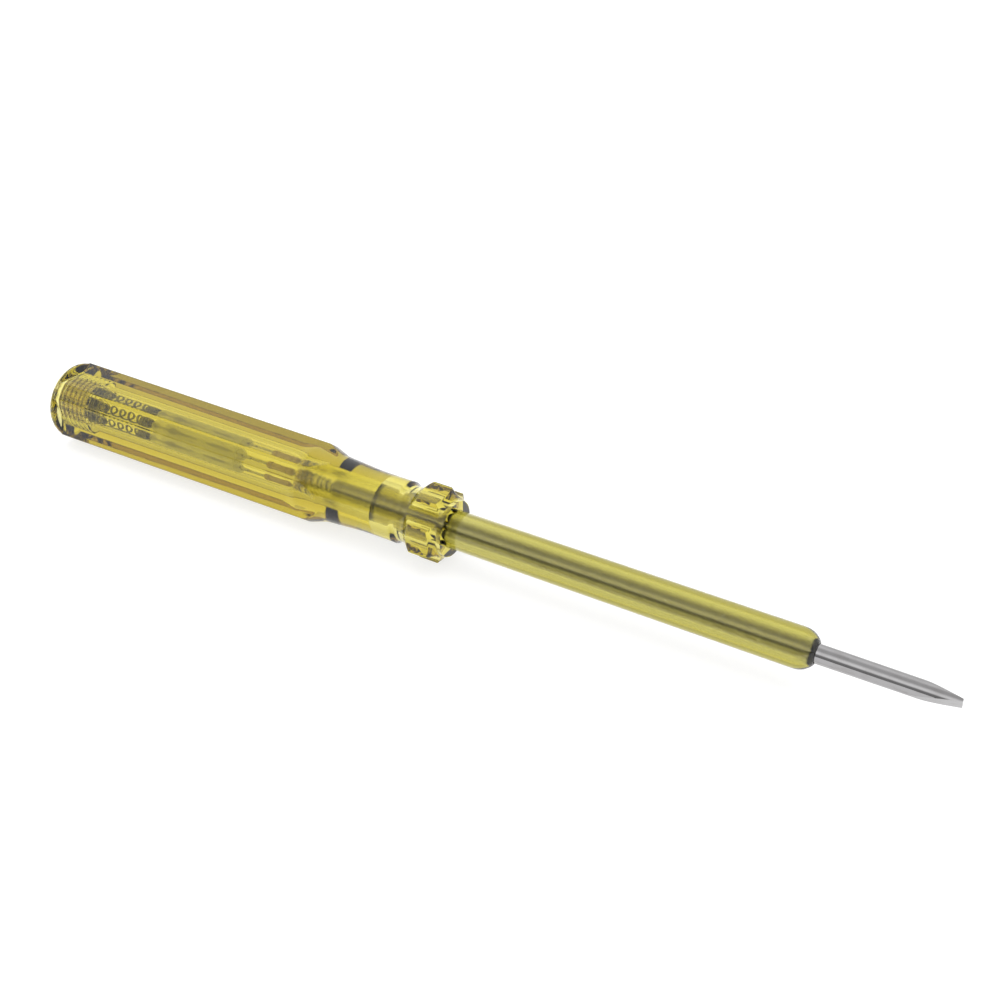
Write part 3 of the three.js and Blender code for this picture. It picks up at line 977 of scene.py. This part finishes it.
@dataclass
class EndPlug:
    """Screw plug with a slotted face, a threaded body and a pilot for the spring."""

    thread: ScrewThread
    face: float = 0.2
    root: float = 3.3
    depth: float = 0.6
    shoulder: float = 7.4
    nose_end: float = 8.0
    pilot_end: float = 9.6
    slot_width: float = 1.0
    slot_depth: float = 1.3
    ridge_base: float = 0.45
    ridge_crest: float = 0.13

    def threaded(self, station: np.ndarray, angle: np.ndarray) -> np.ndarray:
        """Return the radius of the threaded body, faded out at both ends."""
        ridge = self.thread.ridge(station, angle, self.ridge_base, self.ridge_crest)
        rear = np.clip((station - self.face - 0.35) / 0.5, 0, 1)
        front = np.clip((self.shoulder - 0.3 - station) / 0.5, 0, 1)
        edge = np.clip(0.3 - (station - self.face), 0, 0.3)
        return self.root + self.depth * ridge * rear * front - edge

    def build(self) -> bpy.types.Object:
        """Build the plug and cut its slot."""
        angle = even_angles(72)
        station = np.concatenate([
            [self.face, self.face + 0.15], np.arange(self.face + 0.3, self.shoulder, 0.075),
            [self.shoulder],
        ])
        body = skin(station, angle, self.threaded)
        nose = soften([
            (self.shoulder, 2.9), (self.shoulder, 2.6), (self.nose_end, 2.45),
            (self.nose_end, 1.05), (self.pilot_end, 0.85), (self.pilot_end, 0.0),
        ], 0.12)
        rest = np.array([(self.shoulder + 0.001, 2.9), *nose[1:]])
        tail = Rig.points(
            rest[:, :1], rest[:, 1:] * np.cos(angle), rest[:, 1:] * np.sin(angle)
        )
        centre = Rig.points(np.array([self.face]), np.array([0.0]), np.array([0.0]))
        points = np.concatenate([body, tail, centre])
        rows = len(station) + len(rest)
        faces = tube_faces(rows, len(angle))
        for column in range(len(angle)):
            faces.append((column, len(points) - 1, (column + 1) % len(angle)))
        piece = mesh_piece("screw_end_plug", points, faces, sharp=45)
        self.cut_slot(piece)
        return settle(piece, PLUG_NICKEL, Body.PLUG, Slot.NICKEL, "end_plug")

    def cut_slot(self, piece: bpy.types.Object) -> None:
        """Cut the screwdriver slot across the plug's face."""
        cutter_mesh = bpy.data.meshes.new("slot_cutter")
        work = bmesh.new()
        bmesh.ops.create_cube(work, size=1.0)
        size = (2 * self.slot_depth * MM, 12 * MM, self.slot_width * MM)
        bmesh.ops.scale(work, vec=size, verts=work.verts)
        at = Rig.points(np.array([self.face]), np.array([0.0]), np.array([0.0]))[0]
        bmesh.ops.translate(work, vec=at, verts=work.verts)
        work.to_mesh(cutter_mesh)
        work.free()
        cutter = bpy.data.objects.new("slot_cutter", cutter_mesh)
        bpy.context.scene.collection.objects.link(cutter)
        cut = piece.modifiers.new("slot", "BOOLEAN")
        cut.object, cut.operation, cut.solver = cutter, "DIFFERENCE", "EXACT"
        shape = piece.evaluated_get(bpy.context.evaluated_depsgraph_get())
        piece.modifiers.clear()
        piece.data = bpy.data.meshes.new_from_object(shape)
        bpy.data.objects.remove(cutter)


@dataclass
class ContactSprings:
    """The long spring behind the lamp and the short one between the disc and the blade."""

    start: float = 8.3
    end: float = 22.7
    radius: float = 1.55
    wire_size: float = 0.5
    tight_pitch: float = 0.55
    rear_turns: float = 3.0
    open_turns: float = 4.5
    front_turns: float = 4.0
    turn_steps: int = 28
    short_start: float = 61.25
    short_turns: int = 5
    short_pitch: float = 1.3
    short_radius: float = 1.5
    short_taper: float = 0.08  # the radius lost in each turn
    short_wire_size: float = 0.4

    @staticmethod
    def helix(station: np.ndarray, turn: np.ndarray, radius: np.ndarray | float) -> np.ndarray:
        """Return a coil's centre line as rows of station, across and up."""
        angle = turn * FULL_TURN
        return np.stack([station, radius * np.cos(angle), radius * np.sin(angle)], axis=-1)

    def build(self) -> list[bpy.types.Object]:
        """Build both springs."""
        turns = self.rear_turns + self.open_turns + self.front_turns
        turn = np.linspace(0, turns, int(turns * self.turn_steps))
        tight = self.tight_pitch * (self.rear_turns + self.front_turns)
        open_length = self.end - self.start - tight
        knots = (0, self.rear_turns, self.rear_turns + self.open_turns, turns)
        rear = self.start + self.rear_turns * self.tight_pitch
        station = np.interp(turn, knots, (self.start, rear, rear + open_length, self.end))
        wobble = 0.06 * np.sin(turn * 2.1)
        long_path = self.helix(station, turn, self.radius + wobble)
        long_spring = wire("long_contact_spring", long_path, self.wire_size)
        turn = np.linspace(0, self.short_turns, self.short_turns * self.turn_steps)
        short_path = self.helix(
            self.short_start + turn * self.short_pitch,
            turn,
            self.short_radius - self.short_taper * turn,
        )
        short_spring = wire("short_contact_spring", short_path, self.short_wire_size)
        return [
            settle(long_spring, SPRING_WIRE, Body.SPRING, Slot.SPRING, "contact_spring"),
            settle(short_spring, SPRING_WIRE, Body.TESTER, Slot.SPRING, "front_spring"),
        ]


@dataclass
class Lamp:
    """Neon lamp: glass envelope, sealing bead, leads, electrodes, button and pin."""

    start: float = 24.2
    end: float = 46.0
    radius: float = 2.3
    wall: float = 0.4
    seal_end: float = 26.6
    bead_start: float = 44.1
    lead_hole: float = 0.25
    lead_radius: float = 0.2
    button_start: float = 23.05
    rear_electrode: float = 27.6
    rear_electrode_tip: float = 34.5
    front_electrode_tip: float = 37.0
    front_electrode: float = 42.8
    pin_end: float = 48.5

    def build(self) -> list[bpy.types.Object]:
        """Build the lamp's pieces."""
        inside = self.radius - self.wall
        envelope = soften([
            (self.start, self.lead_hole), (self.start, 1.4), (self.start + 0.35, 2.0),
            (self.start + 1.1, self.radius), (self.end, self.radius), (self.end, inside),
            (self.seal_end + 0.8, inside), (self.seal_end, 0.8), (self.seal_end, self.lead_hole),
            (self.start, self.lead_hole),
        ], 0.3)
        outside = inside - 0.03
        bead = soften([
            (self.bead_start, self.lead_hole), (self.bead_start, 0.6 * outside),
            (self.bead_start + 0.6, outside), (self.end, outside),
            (self.end + 0.3, 0.5 * outside), (self.end + 0.3, self.lead_hole),
            (self.bead_start, self.lead_hole),
        ], 0.3)
        button_end = self.start - 0.05
        button = soften([
            (self.button_start, 0.0), (self.button_start, 0.6), (self.button_start + 0.4, 1.1),
            (button_end, 1.25), (button_end, 0.0),
        ], 0.25)
        back, tip = self.rear_electrode, self.rear_electrode_tip
        rear = soften([
            (back, 0.0), (back, 0.6), (back + 0.5, 1.05), (back + 1.4, 1.05), (back + 2.2, 0.45),
            (tip, 0.2), (tip, 0.0),
        ], 0.4)
        root, tip = self.front_electrode, self.front_electrode_tip
        front = soften([
            (tip, 0.0), (tip, 0.3), (root - 2.4, 0.5), (root - 0.6, 0.5), (root, 0.25), (root, 0.0),
        ], 0.4)
        rear_lead = rod_outline(self.start, back - 0.05, self.lead_radius)
        front_lead = rod_outline(root + 0.05, self.end + 0.5, self.lead_radius)
        pin = rod_outline(self.end + 0.55, self.pin_end, 0.7, 0.55)
        return [
            settle(turned(name, outline, sides), finish, Body.TESTER, slot, node)
            for name, outline, sides, finish, slot, node in (
                ("lamp_glass_tube", envelope, 64, LAMP_GLASS, Slot.GLASS, "lamp_envelope"),
                ("lamp_seal_bead", bead, 64, LAMP_GLASS, Slot.GLASS, "lamp_bead"),
                ("lamp_contact_button", button, 64, TINNED, Slot.TINNED, "lamp_button"),
                ("lamp_rear_electrode", rear, 64, ELECTRODE, Slot.ELECTRODE, "electrode_rear"),
                ("lamp_front_electrode", front, 64, ELECTRODE, Slot.ELECTRODE,
                 "electrode_front"),
                ("lamp_rear_lead", rear_lead, 32, ELECTRODE, Slot.ELECTRODE, "lamp_lead_rear"),
                ("lamp_front_lead", front_lead, 32, ELECTRODE, Slot.ELECTRODE,
                 "lamp_lead_front"),
                ("lamp_front_pin", pin, 32, TINNED, Slot.TINNED, "lamp_pin"),
            )
        ]


@dataclass
class Resistor:
    """Quarter-watt resistor with its end caps, leads and the contact disc in front of it."""

    start: float = 52.6
    end: float = 59.0
    cap: float = 1.3
    radius: float = 1.2
    waist: float = 1.05
    disc_start: float = 60.4
    disc_end: float = 61.0
    lead_start: float = 48.6

    def lacquer(self) -> ResistorLacquer:
        """Return the lacquer with its bands placed along this resistor."""
        first = Rig.rear() / MM + self.start + self.cap
        paints = ((0.12, 0.02, 0.01), (0.01, 0.01, 0.01), (0.5, 0.35, 0.02))
        bands = tuple((first + 0.6 + 1.1 * i, paint) for i, paint in enumerate(paints))
        return ResistorLacquer("resistor_lacquer", bands=bands)

    def build(self) -> list[bpy.types.Object]:
        """Build the resistor, its leads and the contact disc."""
        lacquer = self.lacquer()
        rear, front = self.start + self.cap, self.end - self.cap
        rod = soften([
            (rear, 0.0), (rear, self.radius), (rear + 0.6, self.waist), (front - 0.6, self.waist),
            (front, self.radius), (front, 0.0),
        ], 0.5)
        made = [settle(turned("resistor_body", rod), lacquer, Body.TESTER, Slot.LACQUER,
                       "resistor_rod")]
        for name, outer, inner, node in (
            ("resistor_rear_cap", self.start, rear, "resistor_cap_rear"),
            ("resistor_front_cap", self.end, front, "resistor_cap_front"),
        ):
            way = math.copysign(1, inner - outer)
            cap = soften([
                (outer, 0.0), (outer, 0.7), (outer + 0.35 * way, self.radius),
                (inner - 0.04 * way, self.radius + 0.02), (inner - 0.04 * way, 0.0),
            ], 0.25)
            made.append(settle(turned(name, cap), lacquer, Body.TESTER, Slot.LACQUER, node))
        gap = 0.05
        for name, start, end, radius, finish, slot, node in (
            ("resistor_rear_lead", self.lead_start, self.start - gap, 0.5, TINNED, Slot.TINNED,
             "resistor_lead_rear"),
            ("resistor_front_lead", self.end + gap, self.disc_start - gap, 0.3, TINNED,
             Slot.TINNED, "resistor_lead_front"),
            ("front_contact_disc", self.disc_start, self.disc_end, 1.9, PLUG_NICKEL,
             Slot.NICKEL, "contact_disc"),
        ):
            piece = turned(name, rod_outline(start, end, radius), 48)
            made.append(settle(piece, finish, Body.TESTER, slot, node))
        return made


@dataclass
class Blade:
    """Plated rod with a ground wedge tip."""

    start: float = 68.0
    end: float = 190.0
    radius: float = 1.78
    tip_radius: float = 1.7
    sleeve_end: float = 165.6
    wedge_start: float = 183.0
    tip_thickness: float = 0.5
    tip_roll: float = math.radians(30)
    run_out: float = 2.2
    edge_share: float = 0.93  # how far the tip's broken edge draws in
    arc_steps: int = 24
    flat_steps: int = 8

    def cheek(self, station: float) -> float:
        """Return the distance from the axis to the ground cheeks, hollow where they start."""
        slope = (self.tip_radius - self.tip_thickness / 2) / (self.end - self.wedge_start)
        depth = slope * (station - self.wedge_start)
        eased = (depth + math.sqrt(depth**2 + (0.12 * self.run_out) ** 2)) / 2
        return min(self.radius, self.tip_radius - eased + 0.02)

    def rod_radius(self, station: float) -> float:
        """Return the round rod's radius."""
        return float(np.interp(
            station,
            (self.start, self.start + 0.6, self.sleeve_end, self.wedge_start),
            (1.2, self.radius, self.radius, self.tip_radius),
        ))

    def ring(self, station: float) -> list[tuple[float, float, float]]:
        """Return one ring: an arc, a flat, the other arc and the other flat.

        Args:
            station: Where the ring is.

        Returns:
            Its points as station, across and up.
        """
        radius = self.rod_radius(station)
        cut = min(self.cheek(station), radius * 0.9999)
        half = math.acos(cut / radius)
        points = []
        for side in (0.0, math.pi):
            arc = np.linspace(half, math.pi - half, self.arc_steps + 1)
            points += [(radius * math.cos(a + side), radius * math.sin(a + side)) for a in arc]
            first = Vector(points[-1])
            last = Vector((radius * math.cos(half + math.pi + side),
                           radius * math.sin(half + math.pi + side)))
            for k in range(1, self.flat_steps):
                points.append(tuple(first.lerp(last, k / self.flat_steps)))
        turn = self.tip_roll
        return [
            (
                station,
                a * math.cos(turn) - b * math.sin(turn),
                a * math.sin(turn) + b * math.cos(turn),
            )
            for a, b in points
        ]

    def build(self) -> bpy.types.Object:
        """Build the rod and its ground tip."""
        stations = [self.start, self.start + 0.3, self.start + 0.6]
        stations += list(np.arange(70, 165, 5.0)) + [self.sleeve_end, 170, 175, 178]
        stations += list(np.arange(179, self.end - 0.15, 0.2)) + [self.end - 0.06, self.end]
        rings = [self.ring(s) for s in stations]
        rings[-1] = [(s, a * self.edge_share, b * self.edge_share) for s, a, b in rings[-1]]
        count = len(rings[0])
        stack = np.array([p for ring in rings for p in ring])
        faces = tube_faces(len(rings), count) + end_caps(len(rings), count)
        points = Rig.points(stack[:, 0], stack[:, 1], stack[:, 2])
        piece = mesh_piece("blade_rod", points, faces, sharp=22)
        return settle(piece, BLADE_PLATING, Body.TESTER, Slot.PLATED, "blade")


@dataclass
class Sleeve:
    """Clear insulating tube over the blade, with a round front end."""

    start: float = 78.8
    end: float = 165.6
    radius: float = 3.75
    hole: float = 1.84

    def build(self) -> bpy.types.Object:
        """Build the sleeve."""
        nose = self.end - math.sqrt(self.radius**2 - self.hole**2) + 0.15
        last = math.acos((self.hole + 0.25) / self.radius)
        arc = [
            (nose + self.radius * math.sin(a), self.radius * math.cos(a))
            for a in np.linspace(0, last, 20)
        ]
        lip = [(self.end - 0.02, self.hole + 0.12), (self.end, self.hole + 0.03)]
        middle = 120.0
        outline = [
            (self.start, self.hole), (self.start, self.radius - 0.3),
            (self.start + 0.3, self.radius), (middle, self.radius), *arc, *lip,
            (self.end - 0.1, self.hole), (middle, self.hole), (self.start, self.hole),
        ]
        piece = turned("blade_sleeve", outline, 96, sharp=50)
        return settle(piece, SLEEVE_PLASTIC, Body.TESTER, Slot.SLEEVE, "insulating_sleeve")


# ---------------------------------------------------------------- studio


@dataclass
class Studio:
    """Camera, floor and soft light."""

    camera_at: tuple[float, float, float] = (106.7, -175.2, 166.1)
    azimuth: float = 29.0
    elevation: float = 36.4
    lens: float = 49.46
    floor_size: float = 6.0

    def build(self) -> None:
        """Set up the camera, the floor, the surroundings and the overhead panel."""
        self.place_camera()
        self.lay_floor()
        self.paint_surroundings()
        self.hang_lights()

    def place_camera(self) -> None:
        """Make the camera and aim it."""
        data = bpy.data.cameras.new("camera")
        data.lens = self.lens
        data.sensor_width = 36.0
        data.clip_start, data.clip_end = 0.01, 20.0
        camera = bpy.data.objects.new("camera", data)
        bpy.context.scene.collection.objects.link(camera)
        camera.location = Vector(self.camera_at) * MM
        turn, tilt = math.radians(self.azimuth), math.radians(self.elevation)
        ahead = Vector((
            -math.sin(turn) * math.cos(tilt), math.cos(turn) * math.cos(tilt), -math.sin(tilt)
        ))
        camera.rotation_mode = "QUATERNION"
        camera.rotation_quaternion = ahead.to_track_quat("-Z", "Y")
        bpy.context.scene.camera = camera

    def lay_floor(self) -> None:
        """Make the floor that the tool lies on."""
        half = self.floor_size / 2
        corners = np.array([(-half, -half, 0), (half, -half, 0), (half, half, 0), (-half, half, 0)])
        floor = mesh_piece("floor", corners.astype(float), [(0, 1, 2, 3)])
        floor.data.materials.append(StudioFloor("studio_floor").material())

    @staticmethod
    def paint_surroundings() -> None:
        """Light the scene from all round with soft grey light, dimmest at the near horizon."""
        world = bpy.data.worlds.new("surroundings")
        bpy.context.scene.world = world
        world.use_nodes = True
        graph = Graph(world.node_tree)
        way = graph.node("ShaderNodeTexCoord").outputs["Generated"]
        split = graph.node("ShaderNodeSeparateXYZ", {}, {0: way})
        sideways = Value(graph, split.outputs[1]) * -1.0
        over = Value(graph, split.outputs[2]).angle_over(sideways) / math.pi
        stops = tuple((at, (level / SKY_PEAK,) * 3) for at, level in STUDIO_SKY)
        ramp = graph.node("ShaderNodeValToRGB", {"stops": stops}, {0: over})
        light = graph.node(
            "ShaderNodeBackground", {}, {"Color": ramp.outputs[0], "Strength": SKY_PEAK}
        )
        graph.node("ShaderNodeOutputWorld", {}, {"Surface": light.outputs[0]})

    @staticmethod
    def hang_lights() -> None:
        """Hang a wide soft panel overhead that whitens the floor."""
        data = bpy.data.lights.new("overhead_panel", "AREA")
        data.shape = "DISK"
        data.size = 1.6
        data.energy = 14.0
        panel = bpy.data.objects.new("overhead_panel", data)
        panel.location = (0.0, 0.25, 1.4)
        panel.visible_glossy = False
        panel.visible_transmission = False
        bpy.context.scene.collection.objects.link(panel)


def main() -> None:
    """Build the tool and its studio."""
    logging.basicConfig(level=logging.INFO, format="%(name)s %(message)s")
    bpy.context.scene.view_settings.view_transform = "Standard"
    thread = ScrewThread()
    Studio().build()
    assemblies = (
        Handle(thread), EndPlug(thread), ContactSprings(), Lamp(), Resistor(), Blade(), Sleeve()
    )
    for assembly in assemblies:
        assembly.build()


if __name__ == "__main__":
    main()
